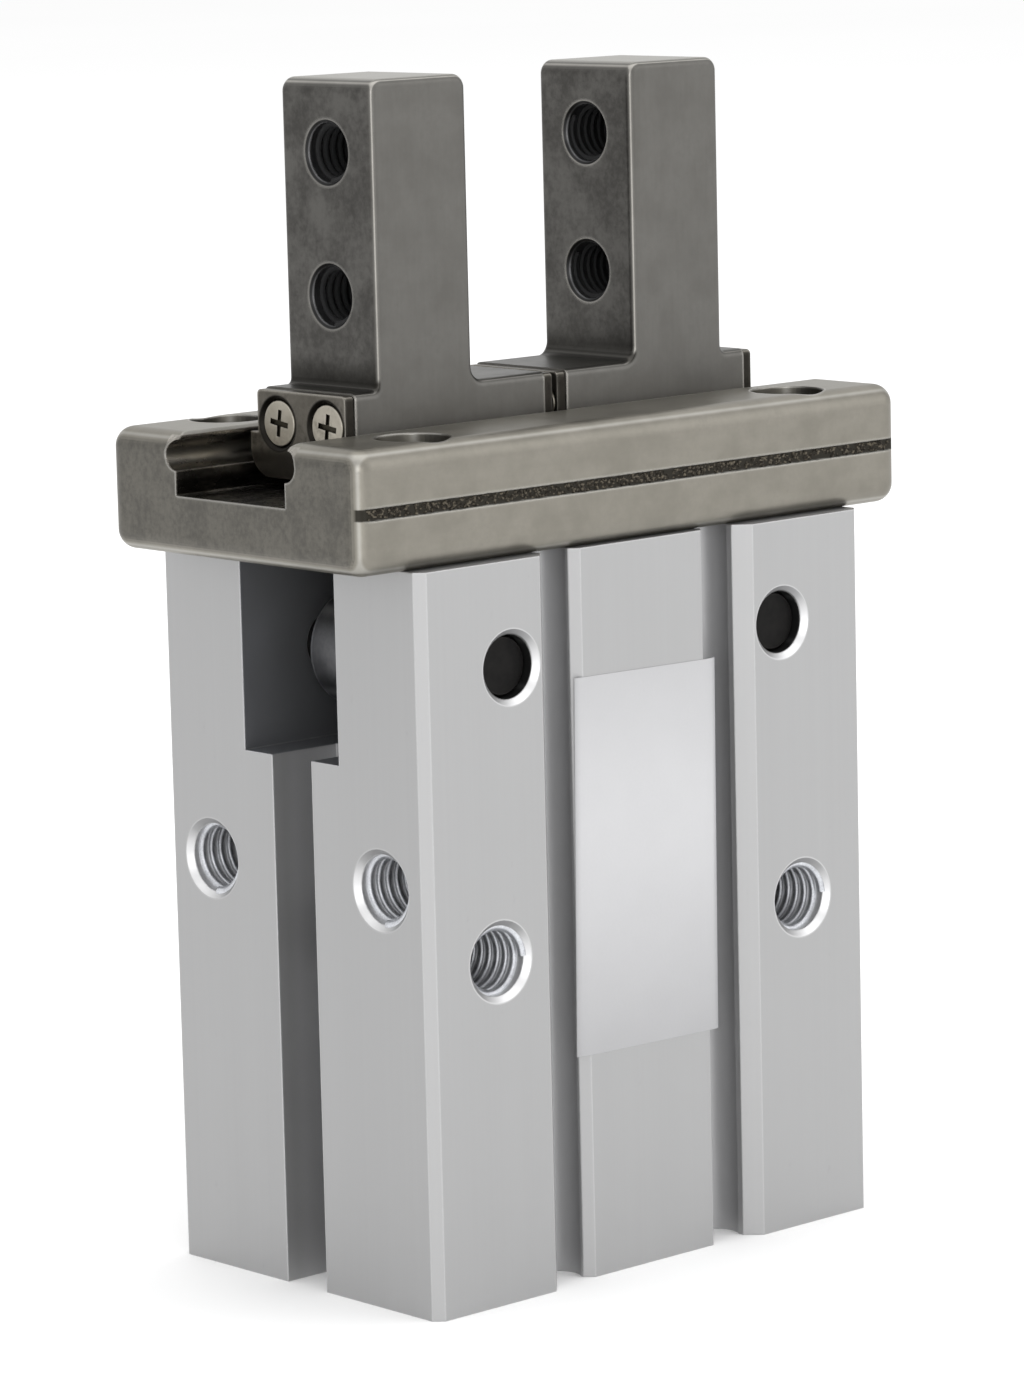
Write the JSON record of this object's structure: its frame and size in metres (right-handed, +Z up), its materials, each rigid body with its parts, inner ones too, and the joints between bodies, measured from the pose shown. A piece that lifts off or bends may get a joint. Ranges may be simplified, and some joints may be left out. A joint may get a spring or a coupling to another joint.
{
  "type": "pneumatic parallel gripper",
  "caption": "Pneumatic parallel gripper: a piston in a block body swings two levers that slide a pair of steel fingers apart along a ball guide.",
  "frame": {"origin": "centre of the body's bottom face, which is also the bottom centre of the bounding box", "axes": "+Z up from the body to the fingertips, X along the finger travel with the air ports on +X, -Y out of the front wide face"},
  "size_m": [0.0636, 0.0336, 0.1027],
  "materials": {
    "body_aluminium": "satin clear anodised",
    "guide_steel": "tumbled and ground",
    "screw_steel": "black oxide",
    "cap_resin": "moulded resin",
    "rubber": "nitrile rubber",
    "spring_steel": "phosphated",
    "piston_aluminium": "turned",
    "rod_steel": "ground stainless",
    "magnet": "bonded magnet",
    "lever_steel": "hardened and blackened",
    "shaft_steel": "black oxide",
    "finger_steel": "hardened and tumbled",
    "plate_steel": "stamped",
    "plug_steel": "turned and staked",
    "ball_steel": "polished"
  },
  "bodies": {
    "casing": {"body": "body_aluminium", "guide": "guide_steel", "guide_screws": "screw_steel", "bottom_cap": "cap_resin", "cap_seal": "rubber", "retaining_ring": "spring_steel", "lower_damper": "rubber", "upper_damper": "rubber", "seal_retainer": "piston_aluminium", "rod_seal": "rubber", "lever_shaft_left": "shaft_steel", "lever_shaft_right": "shaft_steel"},
    "piston": {"piston_rod": "rod_steel", "piston_upper": "piston_aluminium", "piston_lower": "piston_aluminium", "piston_screw": "screw_steel", "piston_packing": "rubber", "magnet_ring": "magnet"},
    "lever_left": {"lever_left": "lever_steel"},
    "finger_left": {"finger_left": "finger_steel", "end_plates_left": "plate_steel", "return_plugs_left": "plug_steel"},
    "balls_left": {"balls_left": "ball_steel"},
    "lever_right": {"lever_right": "lever_steel"},
    "finger_right": {"finger_right": "finger_steel", "end_plates_right": "plate_steel", "return_plugs_right": "plug_steel"},
    "balls_right": {"balls_right": "ball_steel"}
  },
  "joints": [
    {"name": "piston_slide", "type": "slide", "parent": "casing", "child": "piston", "axis": [0, 0, 1], "range_m": [0, 0.00514]},
    {"name": "lever_turn_left", "type": "hinge", "parent": "casing", "child": "lever_left", "pos_m": [-0.016, 0, 0.05415], "axis": [0, -1, 0], "range_deg": [0, 24.72]},
    {"name": "finger_slide_left", "type": "slide", "parent": "casing", "child": "finger_left", "axis": [-1, 0, 0], "range_m": [0, 0.007]},
    {"name": "ball_row_slide_left", "type": "slide", "parent": "casing", "child": "balls_left", "axis": [-1, 0, 0], "range_m": [0, 0.0035]},
    {"name": "lever_turn_right", "type": "hinge", "parent": "casing", "child": "lever_right", "pos_m": [0.016, 0, 0.05415], "axis": [0, 1, 0], "range_deg": [0, 24.72]},
    {"name": "finger_slide_right", "type": "slide", "parent": "casing", "child": "finger_right", "axis": [1, 0, 0], "range_m": [0, 0.007]},
    {"name": "ball_row_slide_right", "type": "slide", "parent": "casing", "child": "balls_right", "axis": [1, 0, 0], "range_m": [0, 0.0035]}
  ],
  "couplings": [
    {"joint": "lever_turn_left", "follows": "piston_slide", "rad_per_m": 83.983},
    {"joint": "finger_slide_left", "follows": "piston_slide", "ratio": 1.3625},
    {"joint": "ball_row_slide_left", "follows": "piston_slide", "ratio": 0.68125},
    {"joint": "lever_turn_right", "follows": "piston_slide", "rad_per_m": 83.983},
    {"joint": "finger_slide_right", "follows": "piston_slide", "ratio": 1.3625},
    {"joint": "ball_row_slide_right", "follows": "piston_slide", "ratio": 0.68125}
  ]
}
